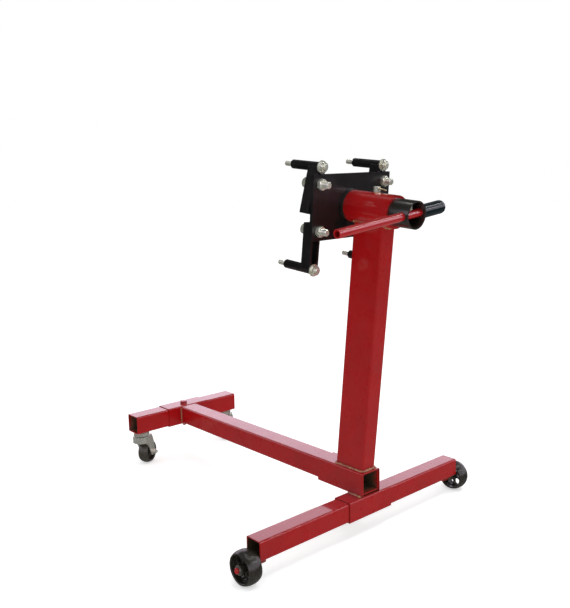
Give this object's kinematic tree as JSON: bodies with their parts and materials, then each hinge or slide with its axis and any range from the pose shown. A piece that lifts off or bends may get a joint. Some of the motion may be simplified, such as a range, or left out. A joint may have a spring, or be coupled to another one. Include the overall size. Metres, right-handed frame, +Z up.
{
  "type": "engine stand",
  "caption": "Red steel engine stand: T-shaped base on small wheels, leaning post, and a black turning head with a slotted-arm plate, spacer tubes and a handle bar through the spindle.",
  "frame": {"origin": "on the floor, under the middle of the rear crossbar's axle line", "axes": "+Z up, +Y from the post towards the engine along the base beam, +X to the right of a person who stands behind the handle"},
  "size_m": [0.721, 0.9076, 0.8257],
  "materials": {
    "red_paint": "gloss red enamel",
    "black_paint": "gloss black enamel",
    "handle_paint": "gloss red enamel",
    "grip_plastic": "glossy dark green-blue",
    "brass": "yellow passivated",
    "dark_steel": "dark, satin",
    "wheel_rubber": "hard dark grey tread, slightly glossy",
    "caster_zinc": "bright zinc",
    "ball_steel": "polished",
    "zinc": "bright zinc with a pale yellow tint"
  },
  "bodies": {
    "frame": {"beam_socket": "red_paint", "main_beam": "red_paint", "rear_sleeve": "red_paint", "rear_leg_tube": "red_paint", "front_sleeve": "red_paint", "front_leg_tube": "red_paint", "post": "red_paint", "head_sleeve": "red_paint", "lock_boss_nut": "zinc", "front_lock_bolt": "red_paint", "front_lock_nut": "zinc", "rear_lock_bolt": "zinc", "rear_axle_rods": "red_paint", "rear_axle_washers": "dark_steel", "rear_axle_caps": "dark_steel", "caster_king_bolts": "caster_zinc", "caster_king_nuts": "caster_zinc", "caster_upper_races": "caster_zinc", "caster_balls": "ball_steel"},
    "lock_pad": {"lock_pad": "brass"},
    "lock_screw": {"lock_screw": "zinc", "lock_screw_lever": "brass"},
    "head": {"spindle_tube": "black_paint", "thrust_collar": "black_paint", "mounting_plate": "black_paint", "arm_pivot_bolts": "zinc", "arm_pivot_nuts": "zinc", "handle_set_screw": "zinc"},
    "handle": {"handle_bar": "handle_paint", "handle_grip": "grip_plastic"},
    "rear_left_wheel": {"rear_left_wheel": "wheel_rubber"},
    "rear_right_wheel": {"rear_right_wheel": "wheel_rubber"},
    "upper_left_pivot": {"upper_left_pivot_washer": "zinc"},
    "upper_left_arm": {"upper_left_arm": "black_paint", "upper_left_spacer": "black_paint", "upper_left_engine_bolt": "zinc", "upper_left_engine_washer": "zinc"},
    "upper_right_pivot": {"upper_right_pivot_washer": "zinc"},
    "upper_right_arm": {"upper_right_arm": "black_paint", "upper_right_spacer": "black_paint", "upper_right_engine_bolt": "zinc", "upper_right_engine_washer": "zinc"},
    "lower_left_pivot": {"lower_left_pivot_washer": "zinc"},
    "lower_left_arm": {"lower_left_arm": "black_paint", "lower_left_spacer": "black_paint", "lower_left_engine_bolt": "zinc", "lower_left_engine_washer": "zinc"},
    "lower_right_pivot": {"lower_right_pivot_washer": "zinc"},
    "lower_right_arm": {"lower_right_arm": "black_paint", "lower_right_spacer": "black_paint", "lower_right_engine_bolt": "zinc", "lower_right_engine_washer": "zinc"},
    "left_caster_fork": {"left_caster_fork": "caster_zinc", "left_caster_axle_bolt": "caster_zinc", "left_caster_axle_nut": "caster_zinc"},
    "left_caster_wheel": {"left_caster_wheel": "wheel_rubber"},
    "right_caster_fork": {"right_caster_fork": "caster_zinc", "right_caster_axle_bolt": "caster_zinc", "right_caster_axle_nut": "caster_zinc"},
    "right_caster_wheel": {"right_caster_wheel": "wheel_rubber"}
  },
  "joints": [
    {"name": "head_spin", "type": "hinge", "parent": "frame", "child": "head", "pos_m": [0, -0.04319, 0.71352], "axis": [0, 0.9932, 0.1167], "continuous": true},
    {"name": "handle_slide", "type": "slide", "parent": "head", "child": "handle", "axis": [0.991, -0.0156, 0.1331], "range_m": [-0.001, 0.165]},
    {"name": "lock_travel", "type": "slide", "parent": "frame", "child": "lock_pad", "axis": [0, -0.1167, 0.9932], "range_m": [0, 0.003]},
    {"name": "lock_turn", "type": "hinge", "parent": "lock_pad", "child": "lock_screw", "pos_m": [0, -0.04716, 0.74729], "axis": [0, -0.1167, 0.9932], "range_deg": [0, 720]},
    {"name": "upper_left_swing", "type": "hinge", "parent": "head", "child": "upper_left_pivot", "pos_m": [-0.09638, 0.02513, 0.76702], "axis": [0, 0.9932, 0.1167], "range_deg": [-30, 6]},
    {"name": "upper_left_slide", "type": "slide", "parent": "upper_left_pivot", "child": "upper_left_arm", "axis": [0.1874, -0.1146, 0.9756], "range_m": [0, 0.05]},
    {"name": "upper_right_swing", "type": "hinge", "parent": "head", "child": "upper_right_pivot", "pos_m": [0.09353, 0.02448, 0.77262], "axis": [0, 0.9932, 0.1167], "range_deg": [-18, 6]},
    {"name": "upper_right_slide", "type": "slide", "parent": "upper_right_pivot", "child": "upper_right_arm", "axis": [0.0785, -0.1163, 0.9901], "range_m": [0, 0.05]},
    {"name": "lower_left_swing", "type": "hinge", "parent": "head", "child": "lower_left_pivot", "pos_m": [-0.09353, 0.03633, 0.67172], "axis": [0, 0.9932, 0.1167], "range_deg": [-30, 80]},
    {"name": "lower_left_slide", "type": "slide", "parent": "lower_left_pivot", "child": "lower_left_arm", "axis": [-0.0192, 0.1166, -0.993], "range_m": [-0.012, 0.003]},
    {"name": "lower_right_swing", "type": "hinge", "parent": "head", "child": "lower_right_pivot", "pos_m": [0.09638, 0.03567, 0.67732], "axis": [0, 0.9932, 0.1167], "range_deg": [-80, 30]},
    {"name": "lower_right_slide", "type": "slide", "parent": "lower_right_pivot", "child": "lower_right_arm", "axis": [0.0906, 0.1162, -0.9891], "range_m": [-0.012, 0.003]},
    {"name": "rear_left_wheel_spin", "type": "hinge", "parent": "frame", "child": "rear_left_wheel", "pos_m": [-0.336, 0, 0.035], "axis": [1, 0, 0], "continuous": true},
    {"name": "rear_right_wheel_spin", "type": "hinge", "parent": "frame", "child": "rear_right_wheel", "pos_m": [0.336, 0, 0.035], "axis": [1, 0, 0], "continuous": true},
    {"name": "left_caster_swivel", "type": "hinge", "parent": "frame", "child": "left_caster_fork", "pos_m": [-0.1435, 0.71092, 0.08719], "axis": [0, -0.0122, 0.9999], "continuous": true},
    {"name": "left_caster_spin", "type": "hinge", "parent": "left_caster_fork", "child": "left_caster_wheel", "pos_m": [-0.11891, 0.72695, 0.0325], "axis": [-0.5299, 0.848, 0.0104], "continuous": true},
    {"name": "right_caster_swivel", "type": "hinge", "parent": "frame", "child": "right_caster_fork", "pos_m": [0.1435, 0.71092, 0.08719], "axis": [0, -0.0122, 0.9999], "continuous": true},
    {"name": "right_caster_spin", "type": "hinge", "parent": "right_caster_fork", "child": "right_caster_wheel", "pos_m": [0.16809, 0.72695, 0.0325], "axis": [-0.5299, 0.848, 0.0104], "continuous": true}
  ],
  "couplings": [
    {"joint": "lock_turn", "follows": "lock_travel", "rad_per_m": 4188.8}
  ]
}
